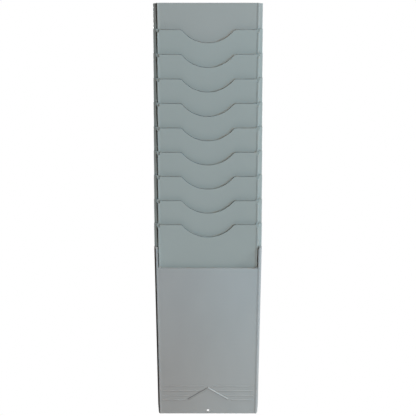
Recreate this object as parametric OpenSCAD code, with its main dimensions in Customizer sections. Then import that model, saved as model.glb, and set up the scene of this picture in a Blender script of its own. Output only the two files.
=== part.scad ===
// Wall rack for time cards. Leaning trays are stacked like shingles: each one
// sits a pitch lower than the tray behind it and one layer in front of it, so
// the gap between two panels is a card pocket with its edge left showing.
// X runs across the rack, the wall is the plane Y = 0 with the rack on its -Y
// side, and Z is up. The origin is the lower screw hole's axis at the wall.
// Inside a tray, w is the distance in front of its back plane, u the distance
// up along its panel, and e the distance in from its outer side.

/* [Rack] */
// Scooped pockets between the header and the base pocket
pocket_count = 9; // [1:1:9]
// Height from one tray to the next
pocket_pitch = 22.2; // [20:0.1:28]
// Width across a tray at its top end
tray_w = 99.6; // [94:0.2:120]
// Length of a scooped tray along its panel
tray_l = 172.1; // [120:0.1:220]
// How much further the header reaches than a scooped tray
header_reach = 2; // [0:0.1:4]
// How much further the base pocket's ears reach than a scooped tray
ear_reach = 0.4; // [0:0.1:4]
// How far each side draws in from the top end to the bottom
side_taper = 1.5; // [0.2:0.1:3]
// How far the tray's back plane is cut away by the wall at its bottom end
seat_depth = 3.2; // [2:0.1:4]

/* [Walls] */
// Thickness of the panels
panel_t = 1.8; // [1.4:0.1:2.4]
// Clear card slot between two panels
slot_gap = 3.2; // [2.6:0.1:4]
// Clearance between a tray and the one nested behind it
nest_gap = 0.15; // [0.1:0.05:0.3]
// Solid floor that the cards stand on
floor_h = 6.2; // [5.6:0.1:12]

/* [Side moulding] */
// Shoulder outside the raised panel
shoulder_w = 2.7; // [2:0.1:3.2]
// Flat inner strip of the shoulder, which carries the tray in front
shoulder_land = 0.5; // [0.3:0.1:1]
// How far the rest of the shoulder drops to its outer edge
shoulder_drop = 1.5; // [0.5:0.1:2]
// Width of the slope from the shoulder up to the bead
slope_w = 1.1; // [1:0.1:2.2]
// Height of the panel's face over the shoulder
panel_rise = 1.8; // [1.2:0.1:2]
// Height of the bead over the panel's face
bead_rise = 0.4; // [0.2:0.05:0.6]
// Width of the bead along each side of the panel
bead_w = 1.7; // [1.2:0.1:2.4]
// Thickness of the side wall inside the slope
inner_wall_t = 2; // [1.6:0.1:3]
// Thickness that a shoulder thins to at its tray's top end, where its drop begins
shoulder_end_t = 2.4; // [2.1:0.1:3]
// Length of the ramp that ends the slope and the bead there
end_ramp_l = 2.6; // [1:0.1:4]

/* [Finger scoop] */
// Radius of the scoop in the pocket's edge
scoop_r = 30; // [24:0.5:34]
// Depth of the scoop below the edge
scoop_depth = 12.1; // [8:0.1:16]
// Radius that blends the scoop into the straight edge
scoop_blend_r = 3.5; // [1:0.5:6]

/* [Header] */
// Thickness of the cheeks that reach back to the wall
cheek_t = 2; // [1.6:0.1:2.1]

/* [Base pocket] */
// Depth of the full-width opening between the two ears
notch_depth = 19.7; // [8:0.1:30]
// Width of an ear
ear_w = 3.3; // [3:0.1:4.4]
// Rounding of an ear's inner top corner
ear_r = 1.4; // [0.5:0.1:2]
// Straight part of the base pocket's sides, out from the wall side
base_side_w = 1.2; // [0.8:0.1:3]
// Width of the slope from there up to the front
base_slope_w = 1.8; // [0.8:0.1:2]
// Rounding of the base pocket's lower corners, seen from the front
corner_r = 1.6; // [0.6:0.1:3]

/* [Moulded ornament] */
// Height of the lowest rib above the tray's bottom end, along the panel
rib_u = 16.1; // [12:0.1:24]
// Spacing of the ribs
rib_step = 4.95; // [3:0.05:7]
// Ribs on each side of the chevron
rib_count = 4; // [1:1:5]
// Radius of a rib
rib_r = 0.6; // [0.4:0.05:1]
// Height of a rib over the panel
rib_rise = 0.4; // [0.1:0.05:0.5]
// Gap between a rib's inner end and the chevron
rib_gap = 3.4; // [2:0.1:8]
// Height of the chevron's point above the tray's bottom end, along the panel
chevron_u = 29.1; // [24:0.1:40]
// Height of the chevron from its ends to its point
chevron_h = 12.2; // [6:0.1:16]
// Half the chevron's width
chevron_half_w = 19.2; // [12:0.1:24]
// Radius of the chevron's bead
chevron_r = 0.9; // [0.6:0.05:1.4]
// Height of the chevron's bead over the panel
chevron_rise = 0.8; // [0.2:0.05:0.85]

// Diameter of the gate marks in the middle of the base pocket's panel
gate_d = 2; // [1:0.1:3]
// Height of a gate mark over the panel
gate_rise = 0.15; // [0.05:0.05:0.3]
// Height of the lower gate mark above the tray's bottom end, along the panel
gate_u = 43; // [42:0.5:60]
// Distance between the two gate marks
gate_step = 39.5; // [20:0.5:60]

/* [Fixing] */
// Diameter of the screw holes in the header and the base pocket
screw_d = 3; // [2.6:0.1:3.6]
// Height of a screw hole above its tray's bottom end
screw_z = 2.9; // [2.7:0.1:4]

/* [Hidden] */

overrun = 8;
far = 600;
bite = 0.5;
half_w = tray_w / 2;
layer = panel_t + slot_gap;
lean = asin(layer / pocket_pitch);
taper_angle = atan(side_taper / tray_l);
face_w = layer + panel_rise;
crest_w = face_w + bead_rise;
back_w = face_w - panel_t;
slope_e = shoulder_w + slope_w;
channel_e = slope_e + inner_wall_t;
rebate_w = panel_rise + bead_rise + nest_gap;
shoulder_tilt = atan(shoulder_drop / (shoulder_w - shoulder_land));
header_l = tray_l + header_reach;
header_top = header_l * cos(lean) - face_w * sin(lean);
ear_l = tray_l + ear_reach;
covered_l = tray_l - pocket_pitch * cos(lean);
notch_u = ear_l - notch_depth;
rib_end_e = base_slope_w + bead_w + bead_w / 2;

$fn = 96;

// Places a tray by how many pitches it stands above the base pocket.
module stand_at(steps) translate([0, 0, steps * pocket_pitch - screw_z]) children();

// Tips an upright tray so that its top end leans away from the wall.
module leaning() translate([0, seat_depth, 0]) rotate([lean, 0, 0]) children();

// The room a tray may fill: in front of the wall and above its own bottom end.
module wall_room(height = far) translate([-far / 2, -far, 0]) cube([far, far, height]);

// Sweeps a section, drawn inwards from the outer side, along both drawn-in sides.
module along_sides(section) {
    for (side = [0, 1])
        mirror([side, 0, 0])
            translate([half_w - side_taper, 0, 0])
                rotate([0, taper_angle, 0])
                    translate([0, 0, -overrun])
                        linear_extrude(tray_l + header_reach + ear_reach + 2 * overrun) polygon(section);
}

// The inner part that every section shares: bead, panel, card channel and the
// rebate that takes the raised panel of the tray behind.
function inner_section(bead_e) = [
    [-bead_e, -crest_w],
    [-(bead_e + bead_w / 2), -crest_w],
    [-(bead_e + bead_w), -face_w],
    [-(half_w + overrun), -face_w],
    [-(half_w + overrun), -back_w],
    [-channel_e, -back_w],
    [-channel_e, -rebate_w],
    [-(slope_e - nest_gap), -rebate_w],
    [-(shoulder_w - nest_gap), 0]
];

// A tray with a shoulder outside its raised panel.
function shoulder_section() = concat(
    [
        [0, 0],
        [0, -(layer - shoulder_drop)],
        [-(shoulder_w - shoulder_land), -layer],
        [-shoulder_w, -layer]
    ],
    inner_section(slope_e)
);

// The base pocket's full-depth side, which slopes in to its front.
function flush_section() = concat([[0, 0], [0, -base_side_w]], inner_section(base_slope_w));

// The moulded skin of a tray, cut off square at its top end.
module skin(section, length) {
    intersection() {
        along_sides(section);
        translate([-far / 2, -far / 2, -overrun]) cube([far, far, length + overrun]);
    }
}

// Solid floor from side wall to side wall and back to the wall, where the cards stand.
module card_floor() {
    width = tray_w - 2 * (side_taper + channel_e - bite);
    intersection() {
        leaning() translate([-width / 2, -(back_w + bite), -overrun]) cube([width, far, far / 2]);
        wall_room(floor_h);
    }
}

// Fills the rebate up to a height, as the ledge that carries the tray behind.
module ledge(height) {
    section = [
        [-(shoulder_w - nest_gap - bite), 0],
        [-(shoulder_w - nest_gap - bite), -(rebate_w + bite)],
        [-channel_e, -(rebate_w + bite)],
        [-channel_e, 0]
    ];
    intersection() {
        leaning() along_sides(section);
        wall_room(height);
    }
}

// Cuts both sides, in to a distance e, by a profile drawn as [-w, u] points at the
// shoulder's land. A tilt drops the cut towards the outer edge.
module side_cut(e, profile, tilt = 0) {
    depth = crest_w + overrun;
    intersection() {
        along_sides([[overrun, 0], [overrun, -depth], [-e, -depth], [-e, 0]]);
        for (side = [0, 1])
            mirror([side, 0, 0])
                translate([half_w - shoulder_w + shoulder_land, 0, 0])
                    rotate([0, 0, tilt])
                        rotate([90, 0, 90]) linear_extrude(far, center = true) polygon(profile);
    }
}

// What thins a shoulder from where the tray in front ends up to its own top end,
// so that the shoulders of the stack run on with hardly a step.
module shoulder_relief() {
    start_w = layer * cos(shoulder_tilt);
    end_w = shoulder_end_t * cos(shoulder_tilt);
    profile = [[-start_w, covered_l], [-end_w, tray_l], [-end_w, far], [-far, far], [-far, covered_l]];
    side_cut(shoulder_w, profile, shoulder_tilt);
}

// What slopes off the ends of the slope and the bead.
module end_ramps() {
    side_cut(slope_e + bead_w, [
        [-crest_w, tray_l - end_ramp_l],
        [-shoulder_end_t, tray_l],
        [-shoulder_end_t, far],
        [-far, far],
        [-far, tray_l - end_ramp_l]
    ]);
}

// Outline that cuts the finger scoop, drawn around the middle of the edge.
module scoop_outline() {
    centre_h = scoop_r - scoop_depth;
    reach = sqrt(pow(scoop_r + scoop_blend_r, 2) - pow(centre_h + scoop_blend_r, 2));
    share = scoop_r / (scoop_r + scoop_blend_r);
    touch = [reach * share, centre_h - (centre_h + scoop_blend_r) * share];
    translate([0, centre_h]) circle(scoop_r);
    difference() {
        polygon([[-reach, bite], [-reach, 0], [-touch.x, touch.y], touch, [reach, 0], [reach, bite]]);
        for (side = [-1, 1]) translate([side * reach, -scoop_blend_r]) circle(scoop_blend_r);
    }
}

// Cuts a front-view outline, drawn in tray coordinates, through the whole tray.
module through_tray() translate([0, bite, 0]) rotate([90, 0, 0]) linear_extrude(crest_w + 2 * bite) children();

module screw_hole() {
    translate([0, bite, screw_z]) rotate([90, 0, 0]) cylinder(d = screw_d, h = layer + crest_w + overrun);
}

// One scooped pocket tray.
module pocket() {
    color([0.565, 0.612, 0.612]) {
        difference() {
            intersection() {
                leaning() skin(shoulder_section(), tray_l);
                wall_room();
            }
            leaning() {
                translate([0, 0, tray_l]) through_tray() scoop_outline();
                shoulder_relief();
                end_ramps();
            }
        }
        card_floor();
        ledge(pocket_pitch - nest_gap);
    }
}

// Cheeks that fill the wedge between the header's sides and the wall.
module cheeks() {
    along_sides([[0, far / 4], [0, -bite], [-cheek_t, -bite], [-cheek_t, far / 4]]);
}

// The topmost tray, with a straight edge and cheeks that stand it off the wall.
module header() {
    color([0.576, 0.616, 0.62]) difference() {
        union() {
            intersection() {
                leaning() {
                    skin(shoulder_section(), header_l + crest_w);
                    cheeks();
                }
                wall_room(header_top);
            }
            card_floor();
            ledge(header_top);
        }
        leaning() shoulder_relief();
        screw_hole();
    }
}

// Outline of the base pocket's opening, with the ears' rounded inner corners.
module notch_outline() {
    top_x = half_w - ear_w;
    bottom_x = top_x - side_taper * notch_depth / tray_l;
    polygon([
        [-bottom_x, notch_u],
        [bottom_x, notch_u],
        [top_x, ear_l],
        [top_x, ear_l + overrun],
        [-top_x, ear_l + overrun],
        [-top_x, ear_l]
    ]);
    for (side = [0, 1])
        mirror([side, 0, 0])
            difference() {
                translate([top_x - bite, ear_l - ear_r]) square([ear_r + bite, ear_r + bite]);
                translate([top_x + ear_r, ear_l - ear_r]) circle(ear_r);
            }
}

// What the lower corners lose when they are rounded.
module corner_offcuts() {
    bottom_x = half_w - side_taper;
    for (side = [0, 1])
        mirror([side, 0, 0])
            translate([bottom_x - corner_r, bite, corner_r])
                rotate([90, 0, 0])
                    linear_extrude(crest_w + overrun)
                        difference() {
                            translate([0, -corner_r - bite]) square(corner_r + bite);
                            circle(corner_r);
                        }
}

// A raised rib across the panel, from one distance off the middle to another.
module rib(from_x, to_x, u) {
    translate([from_x, -(face_w + rib_rise - rib_r), u])
        rotate([0, 90, 0]) cylinder(r = rib_r, h = to_x - from_x);
}

// One leg of the chevron, down from its point.
module chevron_leg() {
    angle = atan(chevron_half_w / chevron_h);
    rotate([0, 180 - angle, 0]) {
        cylinder(r = chevron_r, h = norm([chevron_half_w, chevron_h]));
        sphere(chevron_r);
    }
}

// Flat round marks where the mould was filled.
module gate_marks() {
    for (i = [0, 1])
        translate([0, -back_w - bite, gate_u + i * gate_step])
            rotate([90, 0, 0]) cylinder(d = gate_d, h = panel_t - bite + gate_rise);
}

// Ribs and chevron on the base pocket's panel.
module ornament() {
    rib_end = half_w - side_taper - rib_end_e;
    for (side = [0, 1])
        mirror([side, 0, 0]) {
            translate([0, -(face_w + chevron_rise - chevron_r), chevron_u]) chevron_leg();
            for (i = [0:rib_count - 1]) {
                u = rib_u + i * rib_step;
                leg_x = chevron_half_w * min(1, max(0, (chevron_u - u) / chevron_h));
                rib(leg_x + rib_gap, rib_end, u);
            }
        }
}

// The lowest tray, flush to its outer sides, with ears and the lower screw hole.
module base_pocket() {
    color([0.592, 0.624, 0.631]) difference() {
        union() {
            intersection() {
                leaning() {
                    skin(flush_section(), ear_l);
                    ornament();
                    gate_marks();
                }
                wall_room();
            }
            card_floor();
            ledge(pocket_pitch - nest_gap);
        }
        leaning() through_tray() notch_outline();
        corner_offcuts();
        screw_hole();
    }
}

stand_at(pocket_count + 1) header();
for (i = [1:pocket_count])
    stand_at(pocket_count + 1 - i) pocket();
stand_at(0) base_pocket();
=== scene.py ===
import math

import bpy
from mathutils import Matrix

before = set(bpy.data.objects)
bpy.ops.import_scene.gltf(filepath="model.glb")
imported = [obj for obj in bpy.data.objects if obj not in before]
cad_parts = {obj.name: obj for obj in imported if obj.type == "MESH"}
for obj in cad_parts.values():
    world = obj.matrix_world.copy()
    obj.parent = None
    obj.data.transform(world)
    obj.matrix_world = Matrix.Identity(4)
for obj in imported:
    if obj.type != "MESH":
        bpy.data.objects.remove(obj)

# The picture and the camera. The camera stands in front of the rack's middle plane, a
# little above its middle, and looks slightly down. Lengths here and below are in metres.
IMAGE_PX = 416
FOCAL_PX = 1158.7
SENSOR_MM = 36.0
CAMERA_DISTANCE = 1.1
CAMERA_HEIGHT = 0.3115
CAMERA_DOWN = math.radians(5.95)
CAMERA_NEAR = 0.01
CAMERA_FAR = 50.0

# Each tray's plastic: 8-bit screen colour, roughness, mottle in screen levels, how much
# painted shade its rims and creases get, and whether it is painted paler to its right and
# top, with painted highlights and shade on its raised marks. All nine pockets have the
# plastic called pocket.
TRAY_LOOKS = {
    "header": dict(colour=(145, 152, 154), roughness=0.44, mottle=1,
                   rim_shade=0.5, crease_shade=0.3, painted_right_light=False),
    "base_pocket": dict(colour=(153, 153, 154), roughness=0.40, mottle=7,
                        rim_shade=0.0, crease_shade=0.45, painted_right_light=True),
    "pocket": dict(colour=(143, 153, 155), roughness=0.46, mottle=1,
                   rim_shade=0.45, crease_shade=0.3, painted_right_light=False),
}

# Optics of the plastic.
PLASTIC_IOR = 1.5
PLASTIC_SPECULAR = 0.42

# Noise patterns: waves per metre, alike or along each axis, then detail and roughness.
FLOW = ((22.0, 22.0, 9.0), 2.0, 0.5)
SPECKS = (1500.0, 2.0, 0.6)
PATCHES = (140.0, 3.0, 0.6)
SCUFFS = ((900.0, 120.0, 14.0), 4.0, 0.65)
SMEARS = (30.0, 2.0, 0.5)
GRAIN = (2600.0, 2.0, 0.55)
WAVES = ((48.0, 48.0, 30.0), 2.0, 0.5)

# Which noise values a pattern fades in between: softly, more crisply, or in few places.
SOFT = (0.25, 0.75)
CRISP = (0.3, 0.7)
SPARSE = (0.62, 0.74)

# Colour steps, in screen levels: fine pigment, and how much paler worn edges are.
PIGMENT = 1
WORN_PALER = 3

# How much of the wear pattern shows on edges, and how far wear, scuffs and smears change
# the roughness.
EDGE_WEAR = 0.8
WORN_SMOOTHER = 0.08
SCUFF_ROUGHER = 0.03
SMEAR_SMOOTHER = 0.02
SMEAR_ROUGHER = 0.03

# Strength and height of the mould grain's and the panel waves' relief.
GRAIN_RELIEF = (0.16, 0.00006)
WAVE_RELIEF = (0.05, 0.0006)

# The painted light and shade below were fitted to the tones in one photograph of a real rack,
# where wear and shade look alike: paler places, dark left slopes, rims and creases, and the
# raised marks' pale and dark sides.

# What trays gain in linear colour as painted light, and between which places: the base pocket
# to the right and to the top, and the others downwards, which evens out the lamps.
PAINTED_LIGHT_RIGHT = (0.030, 0.052, 0.062, 1.0)
PAINTED_LIGHT_ACROSS = (-0.045, 0.045)
PAINTED_LIGHT_TOP = (0.0, 0.019, 0.033, 1.0)
PAINTED_LIGHT_UP = (0.01, 0.15)
PAINTED_LIGHT_LOW = (0.023, 0.023, 0.022, 1.0)
PAINTED_LIGHT_DOWN = (0.13, 0.37, 1.0, 0.0)

# How much painted shade darkens the slopes that face left, its colour, which the marks and
# creases share, and which leftward parts of the surface normal those slopes and the upright
# walls, which it leaves alone, have.
LEFT_SLOPE_SHADE = 0.83
PAINTED_SHADE_COLOUR = (50, 44, 38)
STEEP_LEFT = (-0.85, -0.65)
UPRIGHT_LEFT = (-0.995, -0.975)

# The cooler painted shade on the rims that face up, its share on a rim that faces left and on
# one that faces right, and its share low and high on the rack. These shares are fitted, with
# no other ground, and the scoops' right flanks still render darker than in the photograph.
RIM_SHADE_COLOUR = (34, 48, 60)
RIM_SHARES = (0.35, 1.8)
RIM_LEANS = (-0.5, 0.5)
RIM_HEIGHTS = (0.15, 0.36, 0.55, 1.45)
RIM_FACES_UP = (0.4, 0.65)

# Between which distances from the middle plane the painted rim shade ends.
RIM_ENDS = (0.0415, 0.0425)

# How much paler a painted highlight makes the base pocket's raised marks on slopes that
# face up and right, the rim's share of that highlight, and how much painted shade is on
# other slopes.
MARK_HIGHLIGHT = 40
RIM_HIGHLIGHT = 0.5
MARK_SHADE = 0.4
MARK_RIGHT = (0.08, 0.3)
MARK_LEFT = (-0.3, -0.08)
MARK_UP = (0.3, 0.6)
MARK_DOWN = (-0.6, -0.35)
HIGHLIT_RIM_UP = (0.85, 0.95)

# How near another surface is where a crease gets painted shade, and how many rays look
# for it.
CREASE_REACH = 0.0015
CREASE_RAYS = 8

# The rounding of the moulding's edges, and the bend above which a face keeps its edge.
WELD_REACH = 0.000005
EDGE_ANGLE = math.radians(24)
EDGE_RADIUS = 0.00028
EDGE_STEPS = 3
FLAT_ANGLE = math.radians(12)

# Lamps: name, place, width and height, watts and colour. All of them face one point.
# They were fitted to the photograph's tones as well, so most are smaller and less neutral
# than plain soft studio lamps.
LAMP_TARGET = (0.0, -0.02, 0.19)
LAMPS = (
    ("key", (0.38, -2.97, 0.60), (0.20, 0.20), 54.0, (1.0, 0.856, 0.735)),
    ("window", (0.80, -1.15, 0.30), (0.10, 0.10), 2.2, (0.45, 0.80, 1.0)),
    ("low", (0.35, -1.38, 0.20), (0.10, 0.10), 3.6, (0.30, 0.75, 1.0)),
    ("side", (1.3, 0.45, 0.25), (0.6, 1.4), 4.6, (0.97, 1.0, 1.0)),
    ("rim", (1.00, -0.45, 0.95), (0.10, 0.10), 7.2, (0.90, 1.0, 1.0)),
    ("back", (-0.45, 0.80, 0.45), (0.20, 0.20), 7.5, (1.0, 1.0, 1.0)),
)

# The white background, the room's own light from the left and from the right, and
# between which directions one passes into the other.
WHITE = (1.0, 1.0, 1.0, 1.0)
ROOM_LEFT = (0.0, 0.0, 0.0, 1.0)
ROOM_RIGHT = (0.02, 0.02, 0.02, 1.0)
ROOM_TURN = (-0.7, 0.7)

# The floor, and the dark cards that stand on the left and behind it.
FLOOR_DROP = 1.2
FLOOR_SIZE = 4.0
FLOOR_COLOUR = (0.86, 0.86, 0.86, 1.0)
FLOOR_GLOW = 0.9
CARD_COLOUR = (0.05, 0.035, 0.03, 1.0)
CARD_REACH = 0.9
CARD_HEIGHTS = (-1.1, 1.6)


def clear_defaults():
    """Removes the start-up cube, lamp and camera where they exist."""
    for name in ("Cube", "Light", "Camera"):
        found = bpy.data.objects.get(name)
        if found:
            bpy.data.objects.remove(found, do_unlink=True)


class Nodes:
    """Short calls for building the node tree of one material or world."""

    def __init__(self, owner, output="ShaderNodeOutputMaterial"):
        owner.use_nodes = True
        self.tree = owner.node_tree
        self.tree.nodes.clear()
        self.surface = self.add(output).inputs["Surface"]

    def add(self, kind, **settings):
        """Adds a node and sets its inputs, or its properties, by name."""
        node = self.tree.nodes.new(kind)
        for key, value in settings.items():
            if key in node.inputs:
                node.inputs[key].default_value = value
            else:
                setattr(node, key, value)
        return node

    def link(self, source, target):
        self.tree.links.new(source, target)

    def feed(self, target, value):
        """Sets an input to a plain value, or links a socket to it."""
        if isinstance(value, bpy.types.NodeSocket):
            self.link(value, target)
        else:
            target.default_value = value

    def axes(self, vector):
        """The X, Y and Z outputs of a vector."""
        node = self.add("ShaderNodeSeparateXYZ")
        self.link(vector, node.inputs["Vector"])
        return node.outputs

    def noise(self, where, scale, detail, roughness):
        """Noise with one scale, or with a scale for each axis."""
        if isinstance(scale, tuple):
            mapping = self.add("ShaderNodeMapping", Scale=scale)
            self.link(where, mapping.inputs["Vector"])
            where, scale = mapping.outputs["Vector"], 1.0
        node = self.add("ShaderNodeTexNoise", Scale=scale, Detail=detail, Roughness=roughness)
        self.link(where, node.inputs["Vector"])
        return node.outputs["Fac"]

    def spread(self, value, low, high, to_low=0.0, to_high=1.0, shape="SMOOTHSTEP"):
        """Maps low..high of a value to to_low..to_high, clamped."""
        node = self.add("ShaderNodeMapRange", interpolation_type=shape)
        node.inputs["From Min"].default_value = low
        node.inputs["From Max"].default_value = high
        node.inputs["To Min"].default_value = to_low
        node.inputs["To Max"].default_value = to_high
        self.link(value, node.inputs["Value"])
        return node.outputs["Result"]

    def blend(self, factor, first, second, kind="MIX"):
        """Mixes two colours by a factor, or with kind ADD adds the second by that factor."""
        node = self.add("ShaderNodeMix", data_type="RGBA", blend_type=kind)
        self.feed(node.inputs["Factor"], factor)
        self.feed(node.inputs[6], first)
        self.feed(node.inputs[7], second)
        return node.outputs[2]

    def maths(self, operation, first, second):
        node = self.add("ShaderNodeMath", operation=operation)
        self.feed(node.inputs[0], first)
        self.feed(node.inputs[1], second)
        return node.outputs["Value"]

    def times(self, first, *others):
        """The product of values."""
        for other in others:
            first = self.maths("MULTIPLY", first, other)
        return first

    def mix(self, factor, first, second):
        """Mixes two shaders by a factor."""
        node = self.add("ShaderNodeMixShader")
        self.link(factor, node.inputs["Fac"])
        self.link(first, node.inputs[1])
        self.link(second, node.inputs[2])
        return node.outputs["Shader"]

    def relief(self, height, strength, distance):
        """Raises the surface by a height pattern."""
        node = self.add("ShaderNodeBump", Strength=strength, Distance=distance)
        self.link(height, node.inputs["Height"])
        return node


def linear(red, green, blue):
    """An 8-bit screen colour as the linear colour that shaders take."""
    def channel(value):
        share = value / 255.0
        return share / 12.92 if share <= 0.04045 else ((share + 0.055) / 1.055) ** 2.4
    return (channel(red), channel(green), channel(blue), 1.0)


def mottled(n, where, shade, mottle):
    """Soft clouds where the melt flowed, drawn out along the tray, and fine pigment."""
    flow = n.spread(n.noise(where, *FLOW), *SOFT)
    body = n.blend(flow, shade(-mottle), shade(mottle))
    speck = n.spread(n.noise(where, *SPECKS), *CRISP)
    grained = n.blend(speck, shade(-PIGMENT), shade(PIGMENT))
    return n.blend(0.5, body, grained)


def painted_light_gradients(n, paint, place, painted_right_light):
    """Painted light: the base pocket paler to its right and top, the others lower down."""
    if painted_right_light:
        paint = n.blend(n.spread(place["X"], *PAINTED_LIGHT_ACROSS), paint, PAINTED_LIGHT_RIGHT, "ADD")
        return n.blend(n.spread(place["Z"], *PAINTED_LIGHT_UP), paint, PAINTED_LIGHT_TOP, "ADD")
    return n.blend(n.spread(place["Z"], *PAINTED_LIGHT_DOWN), paint, PAINTED_LIGHT_LOW, "ADD")


def painted_slope_shade(n, paint, facing):
    """Painted shade darkens the steep slopes on the left."""
    steep = n.spread(facing["X"], *STEEP_LEFT, 1.0, 0.0)
    upright = n.spread(facing["X"], *UPRIGHT_LEFT, 1.0, 0.0)
    slope_shade = n.times(n.maths("SUBTRACT", steep, upright), LEFT_SLOPE_SHADE)
    return n.blend(slope_shade, paint, linear(*PAINTED_SHADE_COLOUR))


def painted_rim_shade(n, paint, place, facing, between, rim_shade):
    """Painted shade on up-facing rims, more high on the rack and where a rim faces right."""
    rims = n.times(n.spread(facing["Z"], *RIM_FACES_UP), between)
    height_share = n.spread(place["Z"], *RIM_HEIGHTS)
    lean_share = n.spread(facing["X"], *RIM_LEANS, *RIM_SHARES)
    rims = n.times(rims, height_share, lean_share, rim_shade)
    return n.blend(rims, paint, linear(*RIM_SHADE_COLOUR))


def lit_and_shaded_marks(n, paint, facing, between, paler):
    """Raised marks get painted highlights up and right, and painted shade left and
    underneath.
    """
    highlit = n.times(n.spread(facing["X"], *MARK_RIGHT), n.spread(facing["Z"], *MARK_UP))
    rim = n.spread(facing["Z"], *HIGHLIT_RIM_UP, 0.0, RIM_HIGHLIGHT)
    paint = n.blend(n.maths("MAXIMUM", highlit, rim), paint, paler)
    left = n.spread(facing["X"], *MARK_LEFT, 1.0, 0.0)
    under = n.spread(facing["Z"], *MARK_DOWN, 1.0, 0.0)
    shaded = n.times(n.maths("MAXIMUM", left, under), between, MARK_SHADE)
    return n.blend(shaded, paint, linear(*PAINTED_SHADE_COLOUR))


def painted_crease_shade(n, paint, crease_shade):
    """Painted shade darkens creases, such as the foot of a rib."""
    near = n.add("ShaderNodeAmbientOcclusion", samples=CREASE_RAYS, Distance=CREASE_REACH)
    crease = n.times(n.maths("SUBTRACT", 1.0, near.outputs["AO"]), crease_shade)
    return n.blend(crease, paint, linear(*PAINTED_SHADE_COLOUR))


def satin(n, where, roughness, worn):
    """Gloss varies in slow smears, with faint upright scuffs where cards slide."""
    scuff = n.spread(n.noise(where, *SCUFFS), *SPARSE)
    smear = n.spread(n.noise(where, *SMEARS), *SOFT,
                     roughness - SMEAR_SMOOTHER, roughness + SMEAR_ROUGHER)
    rough = n.maths("ADD", smear, n.times(scuff, SCUFF_ROUGHER))
    return n.maths("SUBTRACT", rough, n.times(worn, WORN_SMOOTHER))


def moulded_relief(n, where):
    """Fine mould grain over the slow waviness of a cooled panel."""
    fine = n.relief(n.noise(where, *GRAIN), *GRAIN_RELIEF)
    slow = n.relief(n.noise(where, *WAVES), *WAVE_RELIEF)
    n.link(fine.outputs["Normal"], slow.inputs["Normal"])
    return slow.outputs["Normal"]


def moulded_plastic(name, wear, colour, roughness, mottle, rim_shade, crease_shade, painted_right_light):
    """Satin moulded plastic with worn edges, and painted light and shade."""
    material = bpy.data.materials.new(name)
    n = Nodes(material)
    where = n.add("ShaderNodeTexCoord").outputs["Object"]
    place = n.axes(where)
    facing = n.axes(n.add("ShaderNodeNewGeometry").outputs["Normal"])
    between = n.spread(n.maths("ABSOLUTE", place["X"], 0.0), *RIM_ENDS, 1.0, 0.0)
    worn = n.times(n.spread(n.noise(where, *PATCHES), *CRISP), wear)

    def shade(step):
        return linear(*(channel + step for channel in colour))

    # Apart from the worn edges, what follows is painted light and shade.
    paint = painted_light_gradients(n, mottled(n, where, shade, mottle), place, painted_right_light)
    paint = n.blend(worn, paint, shade(WORN_PALER))
    paint = painted_slope_shade(n, paint, facing)
    paint = painted_rim_shade(n, paint, place, facing, between, rim_shade)
    if painted_right_light:
        paint = lit_and_shaded_marks(n, paint, facing, between, shade(MARK_HIGHLIGHT))
    paint = painted_crease_shade(n, paint, crease_shade)

    shader = n.add("ShaderNodeBsdfPrincipled", IOR=PLASTIC_IOR)
    shader.inputs["Specular IOR Level"].default_value = PLASTIC_SPECULAR
    n.link(paint, shader.inputs["Base Color"])
    n.link(satin(n, where, roughness, worn), shader.inputs["Roughness"])
    n.link(moulded_relief(n, where), shader.inputs["Normal"])
    n.link(shader.outputs["BSDF"], n.surface)
    return material


def tray_plastics(name, look):
    """The plastic of a tray's faces, and the same plastic worn, for its edges."""
    faces = moulded_plastic(name + "_plastic", 0.0, **look)
    edges = moulded_plastic(name + "_worn_edge", EDGE_WEAR, **look)
    return faces, edges


def soften_edges(piece):
    """Rounds the moulding's sharp edges, as a real mould leaves them."""
    weld = piece.modifiers.new("weld", "WELD")
    weld.merge_threshold = WELD_REACH
    bevel = piece.modifiers.new("edges", "BEVEL")
    bevel.limit_method = "ANGLE"
    bevel.angle_limit = EDGE_ANGLE
    bevel.width = EDGE_RADIUS
    bevel.segments = EDGE_STEPS
    bevel.use_clamp_overlap = True
    bevel.material = 1       # the second slot, the worn plastic
    split = piece.modifiers.new("flat_faces", "EDGE_SPLIT")
    split.split_angle = FLAT_ANGLE


def dress_trays():
    """Gives each tray its plastic and softened edges."""
    plastics = {name: tray_plastics(name, look) for name, look in TRAY_LOOKS.items()}
    for name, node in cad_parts.items():
        node.data.materials.clear()
        for plastic in plastics.get(name, plastics["pocket"]):
            node.data.materials.append(plastic)
        soften_edges(node)


def place_camera():
    """The camera that takes the picture."""
    data = bpy.data.cameras.new("camera")
    data.sensor_fit = "HORIZONTAL"
    data.sensor_width = SENSOR_MM
    data.lens = FOCAL_PX * SENSOR_MM / IMAGE_PX
    data.clip_start = CAMERA_NEAR
    data.clip_end = CAMERA_FAR
    camera = bpy.data.objects.new("camera", data)
    camera.location = (0.0, -CAMERA_DISTANCE, CAMERA_HEIGHT)
    camera.rotation_euler = (math.pi / 2 - CAMERA_DOWN, 0.0, 0.0)
    bpy.context.scene.collection.objects.link(camera)
    bpy.context.scene.camera = camera


def area_lamp(name, place, size, power, colour):
    """A rectangular lamp that faces the rack."""
    data = bpy.data.lights.new(name, "AREA")
    data.shape = "RECTANGLE"
    data.size, data.size_y = size
    data.energy = power
    data.color = colour
    lamp = bpy.data.objects.new(name, data)
    lamp.location = place
    across, along, up = (aim - own for aim, own in zip(LAMP_TARGET, place))
    tilt = math.atan2(math.hypot(across, along), -up)
    turn = math.pi - math.atan2(-across, -along)
    lamp.rotation_euler = (tilt, 0.0, turn)
    lamp.visible_camera = False
    bpy.context.scene.collection.objects.link(lamp)


def light_rack():
    """A warm lamp far off in front, two weak cool ones nearer, two beside and one behind."""
    for lamp in LAMPS:
        area_lamp(*lamp)


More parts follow.
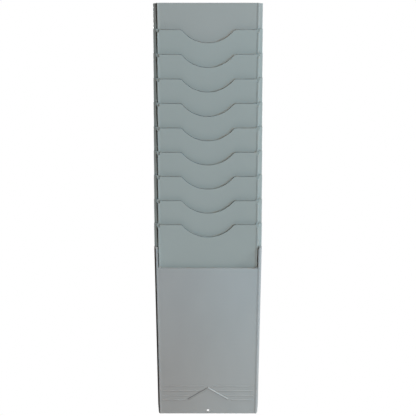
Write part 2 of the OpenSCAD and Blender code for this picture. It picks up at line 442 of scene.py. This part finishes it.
def sheet(name, corners, material):
    """A flat sheet with four corners."""
    mesh = bpy.data.meshes.new(name)
    mesh.from_pydata(corners, [], [(0, 1, 2, 3)])
    mesh.materials.append(material)
    flat = bpy.data.objects.new(name, mesh)
    bpy.context.scene.collection.objects.link(flat)
    return flat


def dark_card(name, start, end):
    """A dark card out of the picture, which keeps the rack's left edges dark."""
    material = bpy.data.materials.new(name + "_matt")
    n = Nodes(material)
    matt = n.add("ShaderNodeBsdfDiffuse", Color=CARD_COLOUR)
    n.link(matt.outputs["BSDF"], n.surface)
    low, high = CARD_HEIGHTS
    corners = [(*start, low), (*end, low), (*end, high), (*start, high)]
    card = sheet(name, corners, material)
    card.visible_camera = False


def shade_left():
    """Dark cards on the left and behind it."""
    dark_card("left_card", (-CARD_REACH, -CARD_REACH), (-CARD_REACH, CARD_REACH))
    dark_card("back_card", (-CARD_REACH, CARD_REACH), (0.0, CARD_REACH))


def shown_white(n):
    """One for rays that see the white background: from the camera, or by mirror or glass."""
    path = n.add("ShaderNodeLightPath").outputs
    mirror_or_glass = n.maths("MAXIMUM", path["Is Glossy Ray"], path["Is Transmission Ray"])
    return n.maths("MAXIMUM", path["Is Camera Ray"], mirror_or_glass)


def surround():
    """White to camera, mirror and glass rays, and the room's light to everything else."""
    world = bpy.data.worlds.new("studio")
    n = Nodes(world, "ShaderNodeOutputWorld")
    direction = n.axes(n.add("ShaderNodeTexCoord").outputs["Generated"])
    turn = n.spread(direction["X"], *ROOM_TURN, shape="LINEAR")
    room = n.add("ShaderNodeBackground", Strength=1.0)
    n.link(n.blend(turn, ROOM_LEFT, ROOM_RIGHT), room.inputs["Color"])
    white = n.add("ShaderNodeBackground", Color=WHITE, Strength=1.0)
    both = n.mix(shown_white(n), room.outputs["Background"], white.outputs["Background"])
    n.link(both, n.surface)
    bpy.context.scene.world = world


def lay_floor():
    """A pale floor, well below a rack that hangs on a wall."""
    material = bpy.data.materials.new("floor_white")
    n = Nodes(material)
    matt = n.add("ShaderNodeBsdfDiffuse", Color=FLOOR_COLOUR)
    glow = n.add("ShaderNodeEmission", Color=WHITE, Strength=FLOOR_GLOW)
    bright = n.add("ShaderNodeAddShader")
    n.link(matt.outputs["BSDF"], bright.inputs[0])
    n.link(glow.outputs["Emission"], bright.inputs[1])
    n.link(n.mix(shown_white(n), matt.outputs["BSDF"], bright.outputs["Shader"]), n.surface)
    half = FLOOR_SIZE / 2
    outline = ((-half, -half), (half, -half), (half, half), (-half, half))
    floor = sheet("floor", [(x, y, -FLOOR_DROP) for x, y in outline], material)


clear_defaults()
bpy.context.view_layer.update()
place_camera()
dress_trays()
light_rack()
shade_left()
surround()
lay_floor()
bpy.context.scene.view_settings.view_transform = "Standard"
